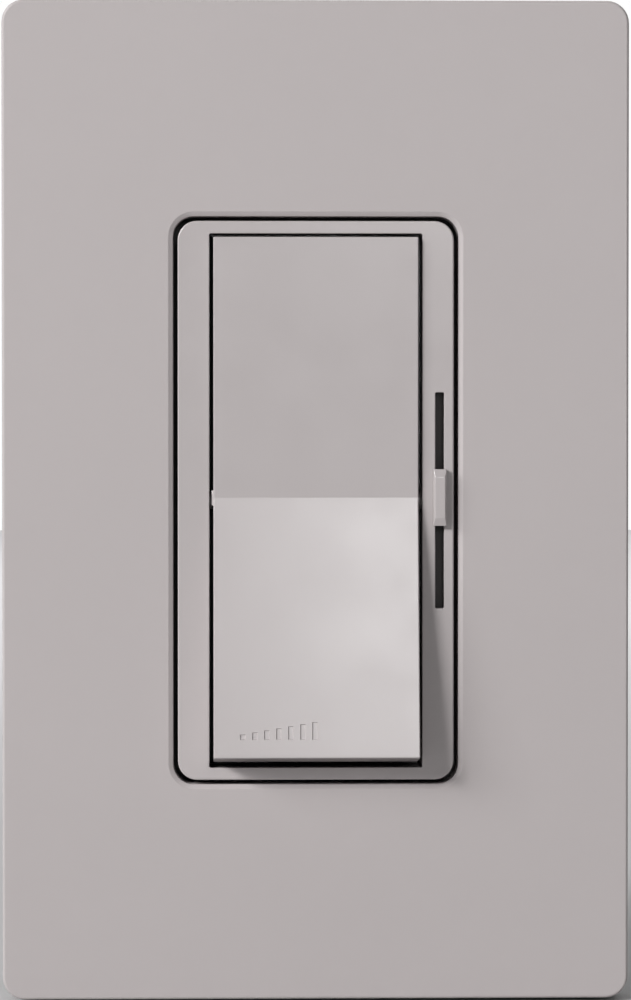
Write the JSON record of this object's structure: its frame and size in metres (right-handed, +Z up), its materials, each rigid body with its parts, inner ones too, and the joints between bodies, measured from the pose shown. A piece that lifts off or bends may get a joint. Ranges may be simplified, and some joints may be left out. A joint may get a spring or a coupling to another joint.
{
  "type": "dimmer slide switch",
  "caption": "Rectangular wall dimmer with a large rocking paddle, a slim slide control beside it, a screwless wall plate, and a metal strap and boxed body behind.",
  "frame": {"origin": "on the wall plane at the back of the strap, midway between the two box screws", "axes": "+X right as seen from the room, +Z up, +Y into the wall, so the front faces -Y"},
  "size_m": [0.0746, 0.046, 0.119],
  "materials": {
    "device_plastic": "satin, warm light grey",
    "plate_plastic": "satin, warm light grey",
    "adapter_plastic": "matte, warm light grey",
    "case_plastic": "moulded, dark grey",
    "shutter_plastic": "matte, dark grey",
    "mechanism_plastic": "natural nylon",
    "pot_plastic": "matte black",
    "dial_plastic": "matte orange",
    "yoke_metal": "brushed, lightly anodised",
    "zinc_steel": "zinc plated",
    "spring_steel": "bright drawn wire",
    "tinned_wire": "tinned",
    "brass": "bright",
    "black_oxide": "black finish on steel",
    "green_metal": "green passivated",
    "silver_alloy": "polished silver alloy",
    "fibre": "vulcanised fibre, dark",
    "retainer_fibre": "vulcanised fibre, tan",
    "board_laminate": "green solder mask",
    "thermal_pad": "matte silicone, light grey",
    "semiconductor": "moulded black body on a plated tab",
    "ferrite": "painted iron powder, yellow",
    "copper_wire": "enamelled copper",
    "film_box": "potted box, ochre",
    "capacitor_sleeve": "heat shrunk sleeve, dark blue",
    "varistor_coat": "dipped coating, blue",
    "resistor_coat": "dipped coating, tan",
    "diode_glass": "clear glass",
    "track_card": "carbon ink on laminate"
  },
  "bodies": {
    "frame": {"wallplate_adapter": "adapter_plastic", "adapter_screws": "zinc_steel", "bezel": "device_plastic", "bezel_seal": "shutter_plastic", "well_film": "shutter_plastic", "yoke": "yoke_metal", "mounting_screws": "zinc_steel", "screw_retainers": "retainer_fibre", "ground_screw": "green_metal", "ground_clamp": "zinc_steel", "back_case": "case_plastic", "case_screws": "zinc_steel", "insulator_sheet": "fibre", "circuit_board": "board_laminate", "common_screw": "black_oxide", "traveller_screws": "brass", "common_plate": "brass", "traveller_upper_plate": "brass", "traveller_lower_plate": "brass", "wire_clamps": "zinc_steel", "common_bracket": "brass", "upper_contact": "brass", "lower_contact": "brass", "fixed_buttons": "silver_alloy", "slide_pot_case": "pot_plastic", "slide_pot_track": "track_card", "trim_pot": "pot_plastic", "triac": "semiconductor", "triac_leads": "tinned_wire", "triac_pad": "thermal_pad", "triac_rivet": "zinc_steel", "choke_core": "ferrite", "choke_winding": "copper_wire", "choke_base": "pot_plastic", "film_capacitor": "film_box", "smoothing_capacitor": "capacitor_sleeve", "varistor": "varistor_coat", "resistors": "resistor_coat", "diac": "diode_glass", "component_leads": "tinned_wire"},
    "cover": {"wallplate_cover": "plate_plastic"},
    "paddle": {"paddle": "device_plastic", "paddle_spring": "spring_steel"},
    "plunger": {"paddle_plunger": "mechanism_plastic"},
    "rocker": {"contact_rocker": "brass", "rocker_buttons": "silver_alloy"},
    "slider": {"slider_knob": "device_plastic", "dust_shutter": "shutter_plastic", "slide_pot_wiper": "mechanism_plastic", "slide_pot_brush": "spring_steel"},
    "trim": {"trim_dial": "dial_plastic"}
  },
  "joints": [
    {"name": "cover_pull", "type": "slide", "parent": "frame", "child": "cover", "axis": [0, -1, 0], "range_m": [0, 0.03]},
    {"name": "paddle_rock", "type": "hinge", "parent": "frame", "child": "paddle", "pos_m": [0, -0.0034, 0], "axis": [1, 0, 0], "range_deg": [0, 8.5]},
    {"name": "plunger_slide", "type": "slide", "parent": "paddle", "child": "plunger", "axis": [0, 0.9973, -0.0741], "range_m": [-0.0008, 0], "stiffness_N_per_m": 1500, "deforming": ["paddle_spring"]},
    {"name": "rocker_tilt", "type": "hinge", "parent": "frame", "child": "rocker", "pos_m": [0, 0.0084, 0], "axis": [1, 0, 0], "range_deg": [-12, 0]},
    {"name": "slider_travel", "type": "slide", "parent": "frame", "child": "slider", "axis": [0, 0, 1], "range_m": [-0.00988, 0.00912]},
    {"name": "trim_turn", "type": "hinge", "parent": "frame", "child": "trim", "pos_m": [0.0146, 0, -0.0235], "axis": [0, -1, 0], "range_deg": [-130, 130]}
  ],
  "couplings": [
    {"joint": "rocker_tilt", "follows": "paddle_rock", "ratio": -1.41}
  ]
}
